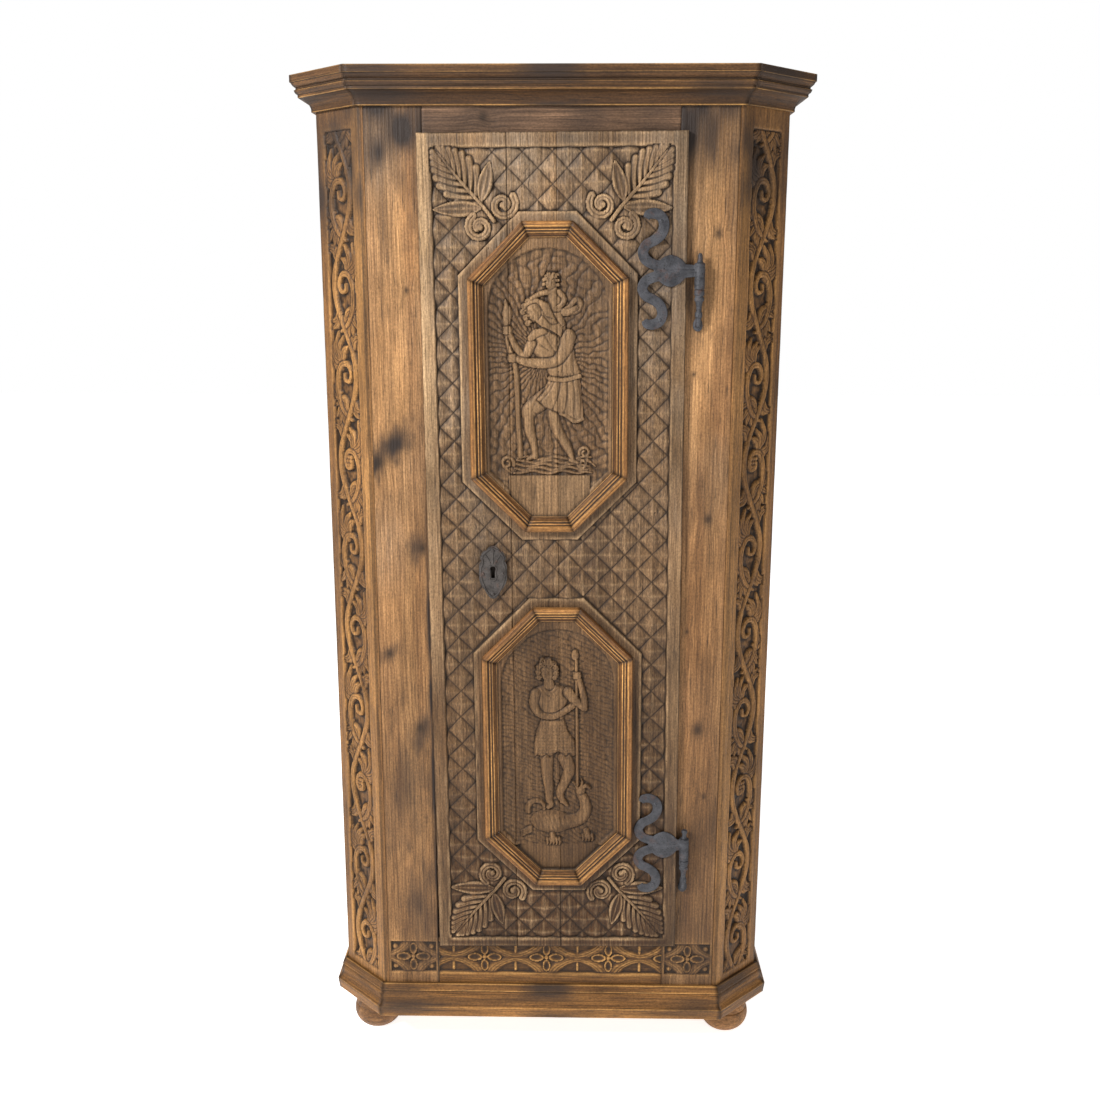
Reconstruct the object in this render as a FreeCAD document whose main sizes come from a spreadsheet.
import FreeCAD, Part
import math
import os
import Sketcher

# A carved single-door armoire with canted front corners, a mitred cornice and base
# moulding, four bun feet, two applied octagonal panel frames and wrought-iron pintle hinges.
# Origin: centre of the bounding box on the floor. +X right, +Y towards the back, +Z up.

Vector = FreeCAD.Vector
Rotation = FreeCAD.Rotation
Placement = FreeCAD.Placement

doc = FreeCAD.newDocument("armoire")

SIZES = [
    ("total_height", 1920, "floor to the top of the cornice"),
    ("front_y", -194, "front face of the stiles"),
    ("body_width", 868, "width across the side boards"),
    ("body_depth", 430, "front face of the stiles to the back"),
    ("cant", 93, "set-back of the canted corner, across and deep"),
    ("front_land", 8.5, "narrow front face of a corner post beside its cant"),
    ("side_land", 8.5, "narrow side face of a corner post behind its cant"),
    ("wall", 24, "thickness of the front and side boards"),
    ("back_thickness", 18, "thickness of the back, floor and roof boards"),
    ("carcass_bottom", 76, "underside of the walls and top of the feet"),
    ("carcass_top", 1900, "top of the walls"),
    ("opening_width", 457, "clear width of the door opening"),
    ("opening_bottom", 244, "top edge of the bottom rail"),
    ("opening_top", 1798, "bottom edge of the top rail"),
    ("tenon_length", 50, "length of a rail's tenon"),
    ("tenon_thickness", 8, "thickness of a rail's tenon"),
    ("tenon_shoulder", 18, "shoulder above and below a tenon"),
    ("floor_bottom", 96, "underside of the floor boards"),
    ("cornice_bottom", 1857, "underside of the cornice"),
    ("cornice_overhang", 42, "how far the cornice stands out"),
    ("plinth_top", 143, "top of the base moulding"),
    ("plinth_overhang", 22, "how far the base moulding stands out"),
    ("foot_x", 371, "foot centre from the middle"),
    ("front_foot_y", -104, "centre of the front feet"),
    ("rear_foot_y", 176, "centre of the rear feet"),
    ("foot_radius", 50, "widest radius of a bun foot"),
    ("spigot_radius", 15, "radius of a foot's spigot"),
    ("fit_gap", 0.05, "radial gap of a turned fit"),
    ("block_width", 110, "foot block, across"),
    ("block_depth", 100, "rear foot block, front to back"),
    ("shelf_bottom", 1600, "underside of the hat shelf"),
    ("shelf_front", -90, "front edge of the hat shelf"),
    ("cleat_height", 35, "height of a shelf cleat"),
    ("cleat_width", 22, "width of a shelf cleat"),
    ("peg_rail_bottom", 1478, "underside of the peg rail"),
    ("peg_rail_height", 60, "height of the peg rail"),
    ("peg_rail_thickness", 20, "thickness of the peg rail"),
    ("peg_length", 62, "how far a coat peg stands out"),
    ("peg_radius", 7, "radius of a peg's stem"),
    ("knob_length", 14, "length of a peg's knob"),
    ("knob_flare", 5, "how much wider than its stem a peg's knob ends"),
    ("knob_neck", 1, "how much wider than its stem a peg's knob starts"),
    ("door_centre_x", 8, "middle of the door, across"),
    ("door_centre_z", 1023.5, "middle of the door, up"),
    ("door_lean", 0.47, "how far the old door has dropped, degrees"),
    ("door_width", 479, "width over the door's lip"),
    ("door_height", 1579, "height over the door's lip"),
    ("lip_thickness", 12, "thickness of the lip in front of the stiles"),
    ("lip_gap", 0.5, "gap between the lip and the stiles"),
    ("tongue_thickness", 14, "part of the door inside the opening"),
    ("lip_left", 16, "lip past the tongue on the lock side"),
    ("lip_right", 30, "lip past the tongue on the hinge side"),
    ("lip_ends", 25, "lip past the tongue at the top and bottom"),
    ("left_joint", -80.5, "joint between the left and middle door boards"),
    ("right_joint", 7.5, "joint between the middle and right door boards"),
    ("batten_half", 196, "half the length of a door batten"),
    ("batten_height", 90, "height of a door batten"),
    ("batten_thickness", 20, "thickness of a door batten"),
    ("batten_offset", 600, "batten centre above and below the door's middle"),
    ("frame_width", 28, "width of the octagonal frame moulding"),
    ("frame_height", 13.5, "how far the frame moulding stands out"),
    ("upper_frame_x", -9, "middle of the upper octagon from the door's middle"),
    ("upper_frame_low", 75, "bottom of the upper octagon above the door's middle"),
    ("upper_frame_tall", 563, "height of the upper octagon"),
    ("lower_frame_x", 4, "middle of the lower octagon from the door's middle"),
    ("lower_frame_low", -647.5, "bottom of the lower octagon from the door's middle"),
    ("lower_frame_tall", 574, "height of the lower octagon"),
    ("octagon_width", 290, "width over an octagonal frame"),
    ("octagon_short", 90.5, "outer length of a frame's top and bottom strips"),
    ("hinge_x", 266.5, "hinge axis, across"),
    ("hinge_y", -207, "hinge axis, front to back"),
    ("upper_hinge_z", 1575, "middle of the upper strap"),
    ("lower_hinge_z", 462, "middle of the lower strap"),
    ("upper_boss_x", 213, "middle of the upper strap's boss"),
    ("lower_boss_x", 224, "middle of the lower strap's boss"),
    ("strap_thickness", 3, "thickness of a hinge strap"),
    ("strap_half", 8.5, "half the width of a strap's curled arm"),
    ("curl_radius", 22, "radius of a strap's curls along the middle of the band"),
    ("knuckle_radius", 9.5, "outer radius of a hinge knuckle"),
    ("pin_radius", 5.5, "radius of a pintle's pin"),
    ("knuckle_drop", 33, "bottom of the knuckle below the strap's middle"),
    ("knuckle_rise", 14, "top of the knuckle above the strap's middle"),
    ("tail_drop", 107, "bottom of the pintle's tail below the strap's middle"),
    ("spike_size", 8, "side of the spike driven through the stile"),
    ("spike_drop", 60, "bottom of the spike below the strap's middle"),
    ("finial_height", 16, "height of the finial on a knuckle"),
    ("knuckle_cap", 5, "solid iron left at the top of a knuckle's bore"),
    ("pin_clearance", 2, "gap between a pin's tip and the end of the bore"),
    ("pintle_gap", 0.3, "gap between a knuckle and the pintle under it"),
    ("barrel_length", 29, "length of a pintle's barrel"),
    ("tail_overlap", 5, "how far a pintle's tail runs up inside its barrel"),
    ("tail_half", 5.5, "half the width of a pintle's tail"),
    ("spoon_radius", 9, "radius of the spoon-shaped end of a tail"),
    ("spoon_thickness", 5, "thickness of the spoon-shaped end of a tail"),
    ("spring_half", 30, "half the length of the lock's spring"),
    ("spring_bow", 120, "radius of the spring's bow"),
    ("spring_thickness", 1, "thickness of the lock's spring"),
    ("spring_rise", 8, "height of the spring above the bolt"),
    ("talon_half", 7, "half the width of the notch that the key turns in"),
    ("talon_depth", 8, "depth of the notch that the key turns in"),
    ("keeper_room", 2, "room above and below the bolt in its keeper"),
    ("nail_radius", 1.8, "radius of a nail's shank"),
    ("nail_head_radius", 4.2, "radius of a nail's head"),
    ("nail_head_height", 2, "height of a nail's head"),
    ("nail_length", 14, "length of a nail under its head"),
    ("pin_length", 12, "length of an escutcheon pin under its head"),
    ("clench_length", 14, "how far a batten nail reaches into the boards"),
    ("tool_overrun", 10, "how far the keyhole tool runs past the faces"),
    ("keyhole_x", -109, "middle of the keyhole, across"),
    ("keyhole_z", 1025, "middle of the keyhole's round part"),
    ("keyhole_radius", 5, "radius of the keyhole's round part"),
    ("keyhole_slot", 7, "width of the keyhole's slot"),
    ("keyhole_drop", 18, "bottom of the slot below the round part"),
    ("escutcheon_z", 1018.5, "middle of the escutcheon"),
    ("escutcheon_half", 26.5, "half the width of the escutcheon"),
    ("escutcheon_tall", 51.5, "half the height of the escutcheon"),
    ("plate_thickness", 2, "thickness of the escutcheon and lock plates"),
    ("lock_left", -213.5, "left edge of the lock"),
    ("lock_right", -84, "right edge of the lock"),
    ("lock_low", 984, "bottom of the lock"),
    ("lock_high", 1072, "top of the lock"),
    ("lock_depth", 25, "depth of the lock on the door's inner face"),
    ("bolt_low", 1036, "bottom of the bolt"),
    ("bolt_high", 1057, "top of the bolt"),
    ("bolt_thickness", 6.5, "thickness of the bolt"),
    ("bolt_gap", 0.4, "sliding gap round the bolt"),
    ("bolt_length", 114, "length of the bolt"),
    ("bolt_inset", 0.5, "tip of the drawn-back bolt inside the lock's edge"),
    ("keeper_width", 18, "width of the bolt's keeper"),
    ("keeper_wall", 4, "wall of the bolt's keeper"),
]

sheet = doc.addObject("Spreadsheet::Sheet", "sizes")
for row, (alias, number, note) in enumerate(SIZES, 1):
    sheet.set(f"A{row}", note)
    sheet.set(f"B{row}", str(number))
    sheet.setAlias(f"B{row}", alias)
doc.recompute()

subparts = []


def size(words):
    """The number that an expression of sheet sizes comes to."""
    return float(sheet.evalExpression(expand(words)))


def expand(words):
    """Turn plain size names into references to the sheet."""
    text = str(words)
    for alias, number, note in sorted(SIZES, key=lambda entry: -len(entry[0])):
        text = text.replace(alias, "#" + str(SIZES.index((alias, number, note))) + "#")
    for index, (alias, number, note) in enumerate(SIZES):
        text = text.replace(f"#{index}#", f"sizes.{alias}")
    return text


def bind(item, name, words):
    """Bind one property of a document object to an expression of sheet sizes."""
    item.setExpression(name, expand(words))


def finish(item, label):
    """Name a finished sub-part and list it for export."""
    item.Label = label
    subparts.append(item)
    return item


def box(name, low, high):
    """A square-edged block between two opposite corners, each given as three expressions."""
    item = doc.addObject("Part::Box", name)
    for side, start, end in zip(("Length", "Width", "Height"), low, high):
        bind(item, side, f"({end}) - ({start})")
    for axis, start in zip("xyz", low):
        bind(item, f"Placement.Base.{axis}", start)
    return item


def cylinder(name, radius, length, base, direction=(0, 0, 1)):
    """A cylinder that starts at base and runs along direction."""
    item = doc.addObject("Part::Cylinder", name)
    item.Placement = Placement(Vector(), Rotation(Vector(0, 0, 1), Vector(*direction)))
    bind(item, "Radius", radius)
    bind(item, "Height", length)
    for axis, start in zip("xyz", base):
        bind(item, f"Placement.Base.{axis}", start)
    return item


def cone(name, bottom_radius, top_radius, length, base, direction=(0, 0, 1)):
    """A cone frustum that starts at base and runs along direction."""
    item = doc.addObject("Part::Cone", name)
    item.Placement = Placement(Vector(), Rotation(Vector(0, 0, 1), Vector(*direction)))
    bind(item, "Radius1", bottom_radius)
    bind(item, "Radius2", top_radius)
    bind(item, "Height", length)
    for axis, start in zip("xyz", base):
        bind(item, f"Placement.Base.{axis}", start)
    return item


def cut(name, base, tool):
    item = doc.addObject("Part::Cut", name)
    item.Base = base
    item.Tool = tool
    return item


def fuse(name, pieces):
    item = doc.addObject("Part::MultiFuse", name)
    item.Shapes = pieces
    item.Refine = True
    return item


def group(name, pieces):
    """Separate solids that share one node."""
    item = doc.addObject("Part::Compound", name)
    item.Links = pieces
    return item


def draw(sketch, points):
    """Draw a closed outline. Each point is (x, y), or (x, y, radius) where the edge that
    arrives at it is an arc: a positive radius turns left and a negative one turns right.
    Every corner and radius is bound to the sheet."""
    corners = [Vector(size(point[0]), size(point[1]), 0) for point in points]
    heads = []
    tails = []
    for index, point in enumerate(points):
        start = corners[index - 1]
        end = corners[index]
        if len(point) == 2:
            edge = sketch.addGeometry(Part.LineSegment(start, end))
            heads.append((edge, 2))
            tails.append((edge, 1))
            continue
        radius = size(point[2])
        chord = end - start
        middle = (start + end) * 0.5
        reach = math.sqrt(radius ** 2 - (chord.Length / 2) ** 2)
        left = Vector(-chord.y, chord.x, 0).normalize()
        centre = middle + left * math.copysign(reach, radius)
        first, last = (start, end) if radius > 0 else (end, start)
        angles = [math.atan2(spot.y - centre.y, spot.x - centre.x) for spot in (first, last)]
        circle = Part.Circle(centre, Vector(0, 0, 1), abs(radius))
        edge = sketch.addGeometry(Part.ArcOfCircle(circle, *angles))
        heads.append((edge, 2) if radius > 0 else (edge, 1))
        tails.append((edge, 1) if radius > 0 else (edge, 2))
        rule = sketch.addConstraint(Sketcher.Constraint("Radius", edge, abs(radius)))
        bind(sketch, f"Constraints[{rule}]", f"abs({point[2]})")
    for index, point in enumerate(points):
        head = heads[index]
        tail = tails[(index + 1) % len(points)]
        sketch.addConstraint(Sketcher.Constraint("Coincident", *head, *tail))
        for kind, words in zip(("DistanceX", "DistanceY"), point):
            rule = Sketcher.Constraint(kind, -1, 1, *head, size(words))
            bind(sketch, f"Constraints[{sketch.addConstraint(rule)}]", words)


def new_body(name):
    return doc.addObject("PartDesign::Body", name)


def body_sketch(body, name, plane, points, offset="0"):
    """A closed sketch on one of the body's own origin planes."""
    sketch = body.newObject("Sketcher::SketchObject", name)
    planes = [feature for feature in body.Origin.OriginFeatures if feature.Role == plane]
    sketch.AttachmentSupport = [(planes[0], "")]
    sketch.MapMode = "FlatFace"
    bind(sketch, "AttachmentOffset.Base.z", offset)
    draw(sketch, points)
    return sketch


def pad(body, name, sketch, length):
    item = body.newObject("PartDesign::Pad", name)
    item.Profile = sketch
    bind(item, "Length", length)
    return item


def plan_board(label, points, low, high):
    """A board with an outline seen from above, between two levels."""
    body = new_body(label)
    sketch = body_sketch(body, label + "_plan", "XY_Plane", points, low)
    pad(body, label + "_pad", sketch, f"({high}) - ({low})")
    return body


def mirrored(points):
    """The same outline mirrored left to right, still drawn the same way round."""
    flipped = [(f"-({point[0]})",) + tuple(point[1:]) for point in points]
    return flipped[::-1]


# Expressions used by several pieces. They are written with the sheet's own names.
HALF = "(body_width / 2)"
INNER = "(body_width / 2 - wall)"
BACK = "(front_y + body_depth)"
BACK_INNER = "(front_y + body_depth - back_thickness)"
FRONT_INNER = "(front_y + wall)"
ARRIS = "(body_width / 2 - cant)"
POST_EDGE = "(body_width / 2 - cant - front_land)"
POST_BACK = "(front_y + cant + side_land)"
SIDE_ARRIS_Y = "(front_y + cant)"
CANT_INSET = "(wall * sqrt(2))"
JAMB = "(opening_width / 2)"
DOOR_FRONT = "(front_y - lip_gap - lip_thickness)"
DOOR_BACK = "(front_y - lip_gap + tongue_thickness)"
HINGES = {"upper": "upper_hinge_z", "lower": "lower_hinge_z"}


def front_frame():
    """Two stiles and two rails, joined with stopped mortises and tenons."""
    tenon_y = (f"{FRONT_INNER} - wall / 2 - tenon_thickness / 2",
               f"{FRONT_INNER} - wall / 2 + tenon_thickness / 2")
    rails = {
        "top_rail": ("opening_top", "carcass_top"),
        "bottom_rail": ("carcass_bottom", "opening_bottom"),
    }
    reach = f"({JAMB} + tenon_length)"
    for label, (low, high) in rails.items():
        slab = box(label + "_slab", (f"-{JAMB}", "front_y", low), (JAMB, FRONT_INNER, high))
        tenon = box(label + "_tenons", (f"-{reach}", tenon_y[0], f"{low} + tenon_shoulder"),
                    (reach, tenon_y[1], f"{high} - tenon_shoulder"))
        finish(fuse(label, [slab, tenon]), label)
    for label, side in (("front_stile_left", "-1"), ("front_stile_right", "1")):
        near, far = f"{side} * {JAMB}", f"{side} * {POST_EDGE}"
        deep = f"{side} * {reach}"
        if side == "-1":
            edges, slot = (far, near), (deep, near)
        else:
            edges, slot = (near, far), (near, deep)
        slab = box(label + "_slab", (edges[0], "front_y", "carcass_bottom"),
                   (edges[1], FRONT_INNER, "carcass_top"))
        holes = [
            box(f"{label}_{rail}_mortise", (slot[0], tenon_y[0], f"{low} + tenon_shoulder"),
                (slot[1], tenon_y[1], f"{high} - tenon_shoulder"))
            for rail, (low, high) in rails.items()
        ]
        if side == "1":
            holes += [spike_hole(name, level) for name, level in HINGES.items()]
            holes.append(tail_nails)
        finish(cut(label, slab, group(label + "_holes", holes)), label)


def spike_hole(name, level):
    """The square hole that a pintle's spike fills in the right stile."""
    bottom = f"{level} - spike_drop"
    return box(f"{name}_spike_hole", ("hinge_x - spike_size / 2", "front_y", bottom),
               ("hinge_x + spike_size / 2", FRONT_INNER, f"{bottom} + spike_size"))


def corner_posts():
    """A post whose face is the 45 degree cant, with a narrow land on each side of it."""
    outline = [
        (POST_EDGE, "front_y"),
        (ARRIS, "front_y"),
        (HALF, SIDE_ARRIS_Y),
        (HALF, POST_BACK),
        (f"{HALF} - {CANT_INSET} + side_land", POST_BACK),
        (POST_EDGE, f"front_y + {CANT_INSET} - front_land"),
    ]
    for label, points in (("corner_post_right", outline), ("corner_post_left", mirrored(outline))):
        finish(plan_board(label, points, "carcass_bottom", "carcass_top"), label)


def wall_boards():
    """Two upright boards on each side and four across the back."""
    split = f"({POST_BACK} + {BACK}) / 2"
    for side, low, high in (("left", f"-{HALF}", f"-{INNER}"), ("right", INNER, HALF)):
        runs = (("front", POST_BACK, split), ("rear", split, BACK))
        for place, start, end in runs:
            label = f"side_board_{side}_{place}"
            finish(box(label, (low, start, "carcass_bottom"), (high, end, "carcass_top")), label)
    count = 4
    for number in range(count):
        label = f"back_board_{number + 1}"
        start = f"-{INNER} + 2 * {INNER} * {number} / {count}"
        end = f"-{INNER} + 2 * {INNER} * {number + 1} / {count}"
        low = (start, BACK_INNER, "carcass_bottom")
        finish(box(label, low, (end, BACK, "carcass_top")), label)


def floor_and_roof():
    """Two floor boards between the walls and two roof boards on top of them."""
    rear_edge = "(front_y + body_depth * 0.52)"
    inner_cant = f"({ARRIS} - {CANT_INSET})"
    floor_front = [
        (f"-{INNER}", rear_edge),
        (f"-{INNER}", f"{INNER} - {inner_cant} + front_y"),
        (f"-({inner_cant} + wall)", FRONT_INNER),
        (f"{inner_cant} + wall", FRONT_INNER),
        (INNER, f"{INNER} - {inner_cant} + front_y"),
        (INNER, rear_edge),
    ]
    level = ("floor_bottom", "floor_bottom + back_thickness")
    finish(plan_board("floor_board_front", floor_front, *level), "floor_board_front")
    rear = box("floor_board_rear", (f"-{INNER}", rear_edge, level[0]),
               (INNER, BACK_INNER, level[1]))
    finish(rear, "floor_board_rear")
    roof_front = [
        (f"-{HALF}", rear_edge),
        (f"-{HALF}", SIDE_ARRIS_Y),
        (f"-{ARRIS}", "front_y"),
        (ARRIS, "front_y"),
        (HALF, SIDE_ARRIS_Y),
        (HALF, rear_edge),
    ]
    level = ("carcass_top", "carcass_top + back_thickness")
    finish(plan_board("roof_board_front", roof_front, *level), "roof_board_front")
    rear = box("roof_board_rear", (f"-{HALF}", rear_edge, level[0]), (HALF, BACK, level[1]))
    finish(rear, "roof_board_rear")


def moulding_profile(name, points):
    """A straight moulding along X: outwards is -Y and up is +Z. It is cut to length later."""
    sketch = doc.addObject("Sketcher::SketchObject", name + "_profile")
    sketch.Placement = Placement(Vector(), Rotation(Vector(0, 0, 1), -90) *
                                 Rotation(Vector(1, 0, 0), 90))
    draw(sketch, points)
    item = doc.addObject("Part::Extrusion", name + "_length")
    item.Base = sketch
    item.DirMode = "Custom"
    item.Dir = Vector(1, 0, 0)
    item.Symmetric = True
    item.Solid = True
    bind(item, "LengthFwd", "total_height")
    return item


def mitred(name, stock, length, mitres, reach, tall, place, turn):
    """Cut the stock to length, measured along its inner face, with the two end mitres."""
    wedge = doc.addObject("Part::Wedge", name + "_mitres")
    bind(wedge, "Xmin", f"-({length}) / 2 - {reach} * tan({mitres[0]})")
    bind(wedge, "Xmax", f"({length}) / 2 + {reach} * tan({mitres[1]})")
    bind(wedge, "X2min", f"-({length}) / 2")
    bind(wedge, "X2max", f"({length}) / 2")
    bind(wedge, "Ymin", f"-{reach}")
    wedge.Ymax = 0
    for prop, words in (("Zmin", "0"), ("Z2min", "0"), ("Zmax", tall), ("Z2max", tall)):
        bind(wedge, prop, words)
    item = doc.addObject("Part::Common", name)
    item.Base = stock
    item.Tool = wedge
    item.Placement = Placement(Vector(), turn)
    for axis, words in zip("xyz", place):
        bind(item, f"Placement.Base.{axis}", words)
    return item


def wrapped_moulding(family, stock, reach, bottom, tall):
    """Five mitred lengths round the front, the two cants and the two sides."""
    half_turn = "22.5 deg"
    side_length = f"({BACK} - {SIDE_ARRIS_Y})"
    runs = (
        ("front", f"2 * {ARRIS}", (half_turn, half_turn), ("0", "front_y"), 0),
        ("cant_left", "cant * sqrt(2)", (half_turn, half_turn),
         (f"-{ARRIS} - cant / 2", "front_y + cant / 2"), -45),
        ("cant_right", "cant * sqrt(2)", (half_turn, half_turn),
         (f"{ARRIS} + cant / 2", "front_y + cant / 2"), 45),
        ("side_left", side_length, ("0 deg", half_turn),
         (f"-{HALF}", f"{SIDE_ARRIS_Y} + {side_length} / 2"), -90),
        ("side_right", side_length, (half_turn, "0 deg"),
         (HALF, f"{SIDE_ARRIS_Y} + {side_length} / 2"), 90),
    )
    for place, length, mitres, centre, angle in runs:
        label = f"{family}_{place}"
        turn = Rotation(Vector(0, 0, 1), angle)
        item = mitred(label, stock, length, mitres, reach, tall, centre + (bottom,), turn)
        finish(item, label)


def cornice():
    tall = "(total_height - cornice_bottom)"
    out = "cornice_overhang"
    profile = [
        ("0", "0"),
        ("7", "0"),
        ("7", "5"),
        (f"{out} - 17", "24", "-26"),
        (f"{out} - 13", "24"),
        (f"{out} - 13", "29"),
        (f"{out} - 7", "37", "10"),
        (f"{out} - 10", "38"),
        (f"{out} - 10", "41"),
        (f"{out} - 2", "50", "14"),
        (out, "50"),
        (out, tall),
        ("0", tall),
    ]
    stock = moulding_profile("cornice", profile)
    wrapped_moulding("cornice", stock, out, "cornice_bottom", tall)


def plinth():
    tall = "(plinth_top - carcass_bottom)"
    out = "plinth_overhang"
    profile = [
        ("0", "0"),
        (f"{out} - 3", "0"),
        (out, "22"),
        (f"{out} - 2", "24"),
        (f"{out} - 9", "40", "-16"),
        (f"{out} - 13", "52", "18"),
        (f"{out} - 10", "54"),
        (f"{out} - 16", tall),
        ("0", tall),
    ]
    stock = moulding_profile("plinth", profile)
    wrapped_moulding("plinth", stock, out, "carcass_bottom", tall)


def feet():
    """Turned bun feet, each with a spigot glued into a block in the carcass corner."""
    profile = [
        ("0", "0"),
        ("foot_radius - 17", "0"),
        ("foot_radius", "34", "36"),
        ("foot_radius - 2", "43", "40"),
        ("foot_radius - 4", "45"),
        ("foot_radius - 3", "47"),
        ("foot_radius - 16", "carcass_bottom", "36"),
        ("spigot_radius", "carcass_bottom"),
        ("spigot_radius", "floor_bottom"),
        ("0", "floor_bottom"),
    ]
    places = {
        "foot_front_left": ("-foot_x", "front_foot_y"),
        "foot_front_right": ("foot_x", "front_foot_y"),
        "foot_rear_left": ("-foot_x", "rear_foot_y"),
        "foot_rear_right": ("foot_x", "rear_foot_y"),
    }
    blocks = []
    for label, (across, deep) in places.items():
        body = new_body(label)
        sketch = body_sketch(body, label + "_profile", "XZ_Plane", profile)
        turning = body.newObject("PartDesign::Revolution", label + "_turning")
        turning.Profile = sketch
        turning.ReferenceAxis = (sketch, ["V_Axis"])
        turning.Angle = 360
        bind(body, "Placement.Base.x", across)
        bind(body, "Placement.Base.y", deep)
        finish(body, label)
        bore = cylinder(label + "_bore", "spigot_radius + fit_gap", "floor_bottom",
                        (across, deep, "0"))
        blocks.append(cut(label + "_block", foot_block(label, across), bore))
    finish(group("foot_blocks", blocks), "foot_blocks")


def foot_block(label, across):
    """The corner block that one foot's spigot is glued into."""
    low, high = "carcass_bottom", "floor_bottom"
    inner_cant = f"({ARRIS} - {CANT_INSET})"
    if "rear" in label:
        near, far = f"({INNER} - block_width)", INNER
        start, end = (near, far) if across == "foot_x" else (f"-{far}", f"-{near}")
        return box(label + "_slab", (start, f"{BACK_INNER} - block_depth", low),
                   (end, BACK_INNER, high))
    outline = [
        (f"{INNER} - block_width", FRONT_INNER),
        (f"{inner_cant} + wall", FRONT_INNER),
        (INNER, f"{INNER} - {inner_cant} + front_y"),
        (INNER, "front_foot_y + block_width / 2"),
        (f"{INNER} - block_width", "front_foot_y + block_width / 2"),
    ]
    points = outline if across == "foot_x" else mirrored(outline)
    return plan_board(label + "_slab", points, low, high)


def inside_fittings():
    """The hat shelf on its two cleats, and the peg rail across the back."""
    shelf = box("hat_shelf", (f"-{INNER}", "shelf_front", "shelf_bottom"),
                (INNER, BACK_INNER, "shelf_bottom + back_thickness"))
    finish(shelf, "hat_shelf")
    low = "shelf_bottom - cleat_height"
    for side, start, end in (("left", f"-{INNER}", f"-{INNER} + cleat_width"),
                             ("right", f"{INNER} - cleat_width", INNER)):
        label = f"shelf_cleat_{side}"
        finish(box(label, (start, "shelf_front", low), (end, BACK_INNER, "shelf_bottom")), label)
    rail_front = f"{BACK_INNER} - peg_rail_thickness"
    slab = box("peg_rail_slab", (f"-{INNER}", rail_front, "peg_rail_bottom"),
               (INNER, BACK_INNER, "peg_rail_bottom + peg_rail_height"))
    pegs = []
    holes = []
    count = 5
    middle = "peg_rail_bottom + peg_rail_height / 2"
    stem = "(peg_rail_thickness + peg_length)"
    for number in range(count):
        across = f"({number} - {(count - 1) / 2}) * 2 * {INNER} / {count}"
        base = (across, BACK_INNER, middle)
        holes.append(cylinder(f"peg_hole_{number}", "peg_radius", "peg_rail_thickness",
                              base, (0, -1, 0)))
        shank = cylinder(f"peg_stem_{number}", "peg_radius", stem, base, (0, -1, 0))
        knob = cone(f"peg_knob_{number}", "peg_radius + knob_flare",
                    "peg_radius + knob_neck", "knob_length",
                    (across, f"{BACK_INNER} - {stem}", middle), (0, 1, 0))
        pegs.append(fuse(f"peg_{number}", [shank, knob]))
    finish(cut("peg_rail", slab, group("peg_holes", holes)), "peg_rail")
    finish(group("coat_pegs", pegs), "coat_pegs")


def set_on_door(item):
    """Place a piece drawn from the door's middle, with the lean of the old door."""
    item.Placement = Placement(Vector(), Rotation(Vector(0, -1, 0), size("door_lean")))
    bind(item, "Placement.Base.x", "door_centre_x")
    bind(item, "Placement.Base.z", "door_centre_z")
    bind(item, "Placement.Rotation.Angle", "door_lean * 1 deg")


def door_boards():
    """Three upright boards. A lip laps the stiles and a tongue fills the opening."""
    half, tall = "(door_width / 2)", "(door_height / 2)"
    runs = {
        "door_board_left": (f"-{half}", "left_joint", f"-{half} + lip_left", "left_joint"),
        "door_board_middle": ("left_joint", "right_joint", "left_joint", "right_joint"),
        "door_board_right": ("right_joint", half, "right_joint", f"{half} - lip_right"),
    }
    lip_back = "(front_y - lip_gap)"
    for label, (lip_start, lip_end, start, end) in runs.items():
        lip = box(label + "_lip", (lip_start, DOOR_FRONT, f"-{tall}"), (lip_end, lip_back, tall))
        tongue = box(label + "_tongue", (start, lip_back, f"-{tall} + lip_ends"),
                     (end, DOOR_BACK, f"{tall} - lip_ends"))
        plank = fuse(label + "_plank", [lip, tongue])
        set_on_door(plank)
        holes = [strap_nails, batten_nails]
        if label == "door_board_left":
            holes = [keyhole("door_keyhole"), escutcheon_pins, batten_nails]
        finish(cut(label, plank, group(label + "_holes", holes)), label)
    for place, sign in (("upper", "1"), ("lower", "-1")):
        label = f"door_batten_{place}"
        middle = f"{sign} * batten_offset"
        slab = box(label + "_slab", ("-batten_half", DOOR_BACK, f"{middle} - batten_height / 2"),
                   ("batten_half", f"{DOOR_BACK} + batten_thickness",
                    f"{middle} + batten_height / 2"))
        blank = group(label + "_blank", [slab])
        set_on_door(blank)
        finish(cut(label, blank, batten_nails), label)


def keyhole(name):
    """The keyhole's round and slot as one cutting tool, through door and lock plate."""
    start = f"{DOOR_FRONT} - tool_overrun"
    through = f"({DOOR_BACK} + plate_thickness - {DOOR_FRONT} + 2 * tool_overrun)"
    round_part = cylinder(name + "_round", "keyhole_radius", through,
                          ("keyhole_x", start, "keyhole_z"), (0, 1, 0))
    slot = box(name + "_slot", ("keyhole_x - keyhole_slot / 2", start, "keyhole_z - keyhole_drop"),
               ("keyhole_x + keyhole_slot / 2", f"{start} + {through}", "keyhole_z"))
    return fuse(name, [round_part, slot])


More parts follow.
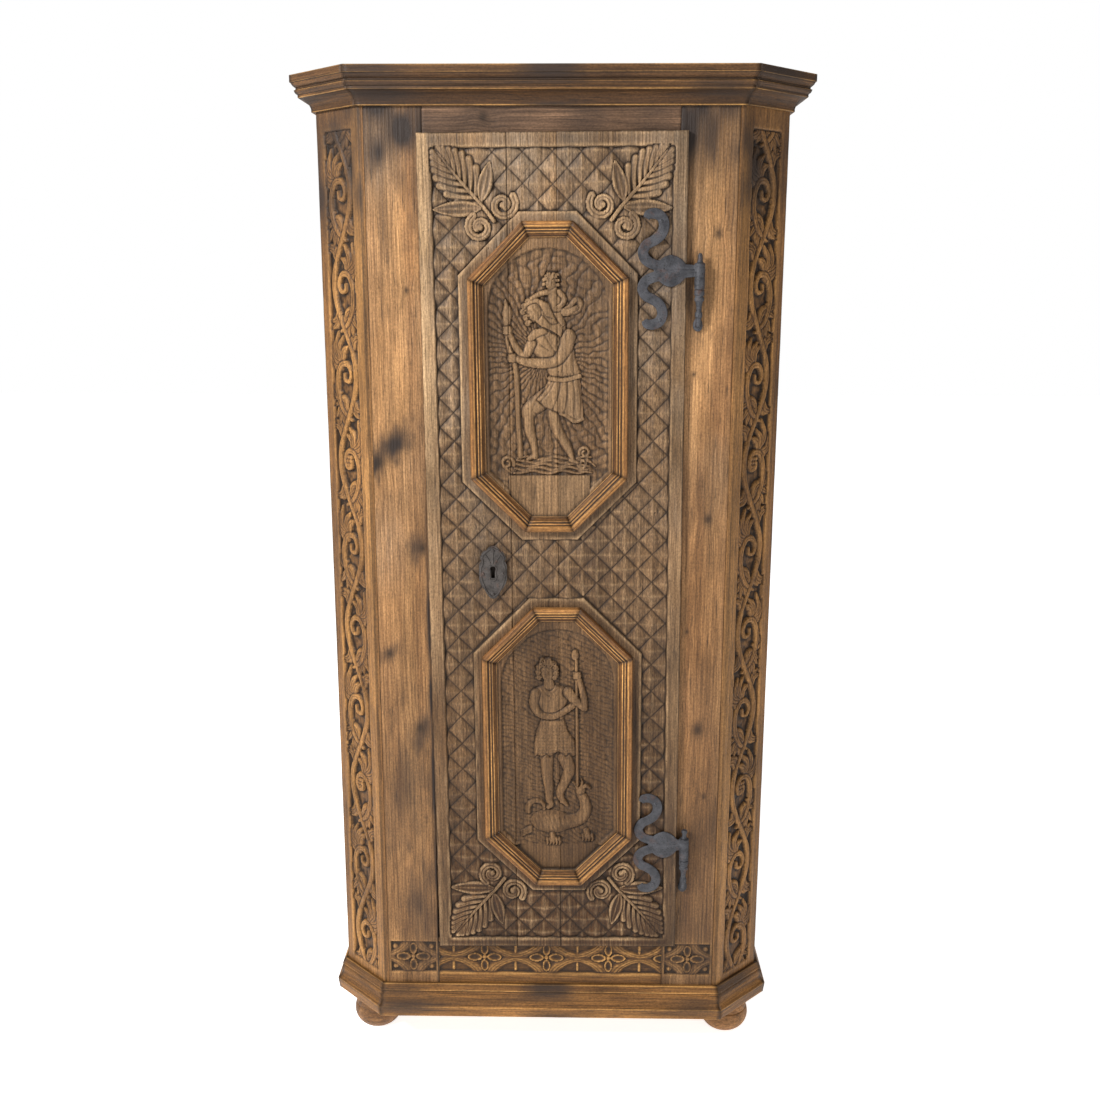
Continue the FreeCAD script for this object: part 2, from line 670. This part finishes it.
def octagon_frames():
    """Two octagons of bolection moulding, each of eight mitred strips, set on the door."""
    wide = "frame_width"
    high = "frame_height"
    profile = [
        ("0", "0"),
        (wide, "0"),
        (wide, f"{high} - 4"),
        (f"{wide} - 3", high, "5"),
        (f"{wide} - 9", high),
        (f"{wide} - 12", f"{high} - 4"),
        (f"{wide} - 20", f"{high} - 5"),
        (f"{wide} - 22", f"{high} - 7"),
        ("2", "3", "-20"),
        ("0", "3"),
    ]
    stock = moulding_profile("panel_frame", profile)
    for place in ("upper", "lower"):
        label = f"panel_frame_{place}"
        strips = octagon_strips(label, place, stock)
        ring = group(label, strips)
        set_on_door(ring)
        finish(ring, label)


def octagon_strips(label, place, stock):
    """The eight strips of one octagon, laid out in the door's own plane."""
    cant_leg = "((octagon_width - octagon_short) / 2)"
    inset = "(frame_width * 2 * tan(22.5 deg))"
    upright = f"({place}_frame_tall - 2 * {cant_leg} - {inset})"
    lengths = (upright, f"({cant_leg} * sqrt(2) - {inset})", f"(octagon_short - {inset})")
    middle = f"({place}_frame_low + {place}_frame_tall / 2)"
    side_reach = "(octagon_width / 2 - frame_width)"
    top_reach = f"({place}_frame_tall / 2 - frame_width)"
    corner_x = "((octagon_width + octagon_short) / 4 - frame_width * sqrt(0.5))"
    corner_z = f"({place}_frame_tall / 2 - {cant_leg} / 2 - frame_width * sqrt(0.5))"
    layout = (
        (0, lengths[2], "0", top_reach),
        (45, lengths[1], corner_x, corner_z),
        (90, lengths[0], side_reach, "0"),
        (135, lengths[1], corner_x, f"-{corner_z}"),
        (180, lengths[2], "0", f"-{top_reach}"),
        (225, lengths[1], f"-{corner_x}", f"-{corner_z}"),
        (270, lengths[0], f"-{side_reach}", "0"),
        (315, lengths[1], f"-{corner_x}", corner_z),
    )
    strips = []
    top_strip = Rotation(Vector(0, 1, -1), 180)
    for number, (angle, length, across, up) in enumerate(layout):
        turn = Rotation(Vector(0, 1, 0), angle) * top_strip
        spot = (f"{place}_frame_x + {across}", DOOR_FRONT, f"{middle} + {up}")
        strips.append(mitred(f"{label}_{number}", stock, length, ("22.5 deg", "22.5 deg"),
                             "frame_width", "frame_height", spot, turn))
    return strips


def strap_arm(name, boss_x, level, side):
    """One S-curled arm of a strap: a band of even width along two touching arcs."""
    path = doc.addObject("Sketcher::SketchObject", name + "_path")
    radius = size("curl_radius")
    tilt = math.radians(100)
    first = Vector(-27, radius + 11, 0)
    second = first + Vector(math.cos(tilt), math.sin(tilt), 0) * 2 * radius
    axis = Vector(0, 0, 1)
    path.addGeometry(Part.LineSegment(Vector(-4, 11, 0), Vector(-27, 11, 0)))
    path.addGeometry(Part.ArcOfCircle(Part.Circle(first, axis, radius), tilt, 1.5 * math.pi))
    path.addGeometry(Part.ArcOfCircle(Part.Circle(second, axis, radius), tilt - math.pi,
                                      math.radians(145)))
    path.addConstraint(Sketcher.Constraint("Coincident", 0, 2, 1, 2))
    path.addConstraint(Sketcher.Constraint("Coincident", 1, 1, 2, 1))
    path.addConstraint(Sketcher.Constraint("Block", 0))
    for edge in (1, 2):
        rule = path.addConstraint(Sketcher.Constraint("Radius", edge, radius))
        bind(path, f"Constraints[{rule}]", "curl_radius")
    band = doc.addObject("Part::Offset2D", name + "_band")
    band.Source = path
    band.Mode = "Pipe"
    band.Join = "Arc"
    bind(band, "Value", "strap_half")
    item = doc.addObject("Part::Extrusion", name)
    item.Base = band
    item.DirMode = "Custom"
    item.Dir = Vector(0, 0, side)
    item.Solid = True
    bind(item, "LengthFwd", "strap_thickness")
    item.Placement = Placement(Vector(), Rotation(Vector(1, 0, 0), 90 * side))
    bind(item, "Placement.Base.x", boss_x)
    bind(item, "Placement.Base.y", DOOR_FRONT)
    bind(item, "Placement.Base.z", level)
    return item


def strap_hinge(label, name, boss_x, level):
    """A strap: a leaf-shaped boss, two curled arms, and a knuckle with a finial on top."""
    boss = doc.addObject("Sketcher::SketchObject", name + "_boss_outline")
    boss.Placement = Placement(Vector(), Rotation(Vector(1, 0, 0), 90))
    reach = f"(hinge_x - {boss_x})"
    draw(boss, [
        ("-29", "0", "36"),
        ("2", "-28.5", "36"),
        ("28", "-12", "40"),
        (reach, "-12"),
        (reach, "11"),
        ("28", "11"),
        ("2", "28.5", "40"),
    ])
    plate = doc.addObject("Part::Extrusion", name + "_boss")
    plate.Base = boss
    plate.DirMode = "Custom"
    plate.Dir = Vector(0, -1, 0)
    plate.Solid = True
    bind(plate, "LengthFwd", "strap_thickness")
    bind(plate, "Placement.Base.x", boss_x)
    bind(plate, "Placement.Base.y", DOOR_FRONT)
    bind(plate, "Placement.Base.z", level)
    bottom = ("hinge_x", "hinge_y", f"{level} - knuckle_drop")
    top = ("hinge_x", "hinge_y", f"{level} + knuckle_rise")
    knuckle = cylinder(name + "_knuckle", "knuckle_radius", "knuckle_drop + knuckle_rise", bottom)
    finial = cone(name + "_finial", "knuckle_radius", "knuckle_radius / 2", "finial_height", top)
    arms = [strap_arm(f"{name}_arm_{side}", boss_x, level, side) for side in (1, -1)]
    solid = fuse(name + "_iron", [plate, knuckle, finial] + arms)
    bore = cylinder(name + "_bore", "pin_radius + fit_gap",
                    "knuckle_drop + knuckle_rise - knuckle_cap", bottom)
    finish(cut(label, solid, group(name + "_strap_holes", [bore, strap_nails])), label)


def pintle(label, name, level):
    """A pintle: the pin that carries the knuckle, its tail on the stile and its spike."""
    base = f"{level} - knuckle_drop - pintle_gap"
    end = f"{level} - tail_drop + spoon_radius"
    spike_low = f"{level} - spike_drop"
    pin = cylinder(name + "_pin", "pin_radius",
                   "knuckle_drop + knuckle_rise - knuckle_cap - pin_clearance",
                   ("hinge_x", "hinge_y", base))
    barrel = cylinder(name + "_barrel", "knuckle_radius", "barrel_length",
                      ("hinge_x", "hinge_y", f"{base} - barrel_length"))
    tail = box(name + "_tail", ("hinge_x - tail_half", "hinge_y - tail_overlap", end),
               ("hinge_x + tail_half", "front_y", f"{base} - barrel_length + tail_overlap"))
    spoon = cylinder(name + "_spoon", "spoon_radius", "spoon_thickness",
                     ("hinge_x", "front_y", end), (0, -1, 0))
    spike = box(name + "_spike", ("hinge_x - spike_size / 2", "hinge_y", spike_low),
                ("hinge_x + spike_size / 2", FRONT_INNER, f"{spike_low} + spike_size"))
    iron = fuse(name + "_iron_pintle", [pin, barrel, tail, spoon, spike])
    finish(cut(label, iron, tail_nails), label)


def nail(name, across, face, up, length, inwards=1):
    """A hand-made nail: a low domed head on a face, with a shank driven in behind it."""
    direction = (0, inwards, 0)
    shank = cylinder(name + "_shank", "nail_radius", length, (across, face, up), direction)
    head = cone(name + "_head", "nail_head_radius", "nail_radius", "nail_head_height",
                (across, face, up), (0, -inwards, 0))
    return fuse(name, [shank, head])


def strap_nail_group():
    """Four nails through each strap."""
    spots = ((-12, 2), (14, -4), (-17, 86), (-17, -86))
    nails = []
    for name, boss_x, level in (("upper", "upper_boss_x", "upper_hinge_z"),
                                ("lower", "lower_boss_x", "lower_hinge_z")):
        for number, (across, up) in enumerate(spots):
            nails.append(nail(f"{name}_strap_nail_{number}", f"{boss_x} + {across}",
                              f"{DOOR_FRONT} - strap_thickness", f"{level} + {up}",
                              "nail_length"))
    return finish(group("strap_nails", nails), "strap_nails")


def tail_nail_group():
    """One nail through the spoon-shaped end of each pintle's tail."""
    nails = [nail(f"{name}_tail_nail", "hinge_x", "front_y - spoon_thickness",
                  f"{level} - tail_drop + spoon_radius", "nail_length")
             for name, level in HINGES.items()]
    return finish(group("pintle_nails", nails), "pintle_nails")


def batten_nail_group():
    """Six clenched nails through each batten, driven from the inside."""
    nails = []
    for place, sign in (("upper", "1"), ("lower", "-1")):
        for number, across in enumerate((-180, -110, -30, -50, 60, 150)):
            up = f"{sign} * batten_offset + {25 if number % 2 else -25}"
            nails.append(nail(f"{place}_batten_nail_{number}", str(across),
                              f"{DOOR_BACK} + batten_thickness", up,
                              "batten_thickness + clench_length", -1))
    nails_on_door = group("batten_nails", nails)
    set_on_door(nails_on_door)
    return finish(nails_on_door, "batten_nails")


def escutcheon_pin_group():
    """Four small pins round the edge of the escutcheon."""
    pins = []
    for number, (across, up) in enumerate(((0, 42), (-19, -4), (19, -4), (0, -43))):
        pins.append(nail(f"escutcheon_pin_{number}", f"keyhole_x + {across}",
                         f"{DOOR_FRONT} - plate_thickness", f"escutcheon_z + {up}",
                         "pin_length"))
    return finish(group("escutcheon_pins", pins), "escutcheon_pins")


def escutcheon():
    """A shield-shaped iron plate with a lobed top and a pointed foot."""
    half, tall = "escutcheon_half", "escutcheon_tall"
    right = [
        ("0", f"-{tall}"),
        ("8", f"-{tall} + 4", "9"),
        (f"{half} - 9", f"-{tall} + 19"),
        (half, "-12", "40"),
        (half, "8"),
        (f"{half} - 5", "22", "18"),
        (f"{half} - 4", "33", "8"),
        (f"{half} - 14", f"{tall} - 9", "14"),
        ("0", tall, "16"),
    ]
    left = [(f"{half} - 14", f"{tall} - 9", "16"), (f"{half} - 4", "33", "14"),
            (f"{half} - 5", "22", "8"), (half, "8", "18"), (half, "-12"),
            (f"{half} - 9", f"-{tall} + 19", "40"), ("8", f"-{tall} + 4")]
    sketch = doc.addObject("Sketcher::SketchObject", "escutcheon_outline")
    sketch.Placement = Placement(Vector(), Rotation(Vector(1, 0, 0), 90))
    flipped = [(f"-({point[0]})",) + point[1:] for point in left]
    draw(sketch, [("0", f"-{tall}", "9")] + right[1:] + flipped)
    plate = doc.addObject("Part::Extrusion", "escutcheon_plate")
    plate.Base = sketch
    plate.DirMode = "Custom"
    plate.Dir = Vector(0, -1, 0)
    plate.Solid = True
    bind(plate, "LengthFwd", "plate_thickness")
    bind(plate, "Placement.Base.x", "keyhole_x")
    bind(plate, "Placement.Base.y", DOOR_FRONT)
    bind(plate, "Placement.Base.z", "escutcheon_z")
    holes = group("escutcheon_holes", [keyhole("escutcheon_keyhole"), escutcheon_pins])
    finish(cut("escutcheon", plate, holes), "escutcheon")


def lock():
    """A rim lock on the door's inner face: plate, case, sliding bolt, spring and keeper."""
    face = DOOR_BACK
    plate = box("lock_plate_slab", ("lock_left", face, "lock_low"),
                ("lock_right", f"{face} + plate_thickness", "lock_high"))
    finish(cut("lock_plate", plate, keyhole("lock_keyhole")), "lock_plate")
    bolt_front = f"({FRONT_INNER} + bolt_gap)"
    bolt_back = f"({bolt_front} + bolt_thickness)"
    cover = box("lock_cover", ("lock_left", f"{face} + plate_thickness", "lock_low"),
                ("lock_right", f"{face} + lock_depth", "lock_high"))
    hollow = box("lock_hollow", ("lock_left + plate_thickness", f"{face} + plate_thickness",
                                 "lock_low + plate_thickness"),
                 ("lock_right - plate_thickness", f"{face} + lock_depth - plate_thickness",
                  "lock_high - plate_thickness"))
    window = box("lock_window", ("lock_left", f"{bolt_front} - bolt_gap", "bolt_low - bolt_gap"),
                 ("lock_left + plate_thickness", f"{bolt_back} + bolt_gap",
                  "bolt_high + bolt_gap"))
    finish(cut("lock_case", cover, group("lock_space", [hollow, window])), "lock_case")
    tip = "(lock_left + bolt_inset)"
    bar = box("lock_bolt_bar", (tip, bolt_front, "bolt_low"),
              (f"{tip} + bolt_length", bolt_back, "bolt_high"))
    talon = box("lock_bolt_talon", ("keyhole_x - talon_half", bolt_front, "bolt_low"),
                ("keyhole_x + talon_half", bolt_back, "bolt_low + talon_depth"))
    finish(cut("lock_bolt", bar, talon), "lock_bolt")
    spring_sketch = doc.addObject("Sketcher::SketchObject", "lock_spring_outline")
    spring_sketch.Placement = Placement(Vector(), Rotation(Vector(1, 0, 0), 90))
    draw(spring_sketch, [
        ("-spring_half", "0"),
        ("spring_half", "0", "-spring_bow"),
        ("spring_half", "spring_thickness"),
        ("-spring_half", "spring_thickness", "spring_bow + spring_thickness"),
    ])
    spring = doc.addObject("Part::Extrusion", "lock_spring")
    spring.Base = spring_sketch
    spring.DirMode = "Custom"
    spring.Dir = Vector(0, -1, 0)
    spring.Solid = True
    bind(spring, "LengthFwd", "bolt_thickness")
    bind(spring, "Placement.Base.x", "(lock_left + lock_right) / 2")
    bind(spring, "Placement.Base.y", bolt_back)
    bind(spring, "Placement.Base.z", "bolt_high + spring_rise")
    finish(spring, "lock_spring")
    keeper_right = f"(-{JAMB} - 3)"
    keeper_left = f"({keeper_right} - keeper_width)"
    low = "(bolt_low - keeper_room)"
    high = "(bolt_high + keeper_room)"
    rear = f"({bolt_back} + keeper_room / 2)"
    outside = box("keeper_outside", (keeper_left, FRONT_INNER, f"{low} - keeper_wall"),
                  (keeper_right, f"{rear} + keeper_wall", f"{high} + keeper_wall"))
    inside = box("keeper_inside", (keeper_left, FRONT_INNER, low), (keeper_right, rear, high))
    finish(cut("lock_keeper", outside, inside), "lock_keeper")


strap_nails = strap_nail_group()
tail_nails = tail_nail_group()
batten_nails = batten_nail_group()
escutcheon_pins = escutcheon_pin_group()
front_frame()
corner_posts()
wall_boards()
floor_and_roof()
cornice()
plinth()
feet()
inside_fittings()
door_boards()
octagon_frames()
for hinge_name, hinge_level in HINGES.items():
    strap_hinge(f"strap_hinge_{hinge_name}", hinge_name, f"{hinge_name}_boss_x", hinge_level)
    pintle(f"pintle_{hinge_name}", hinge_name, hinge_level)
escutcheon()
lock()
doc.recompute()

for item in doc.Objects:
    if "Invalid" in item.State or "Error" in item.State:
        raise RuntimeError(f"{item.Name} did not compute: {item.State}")

os.makedirs("parts", exist_ok=True)
for item in subparts:
    shape = item.Shape
    if shape.isNull() or not shape.isValid() or shape.Volume <= 0:
        raise RuntimeError(f"{item.Label} has no valid shape")
for item in subparts:
    item.Shape.exportStep(f"parts/{item.Label}.step")
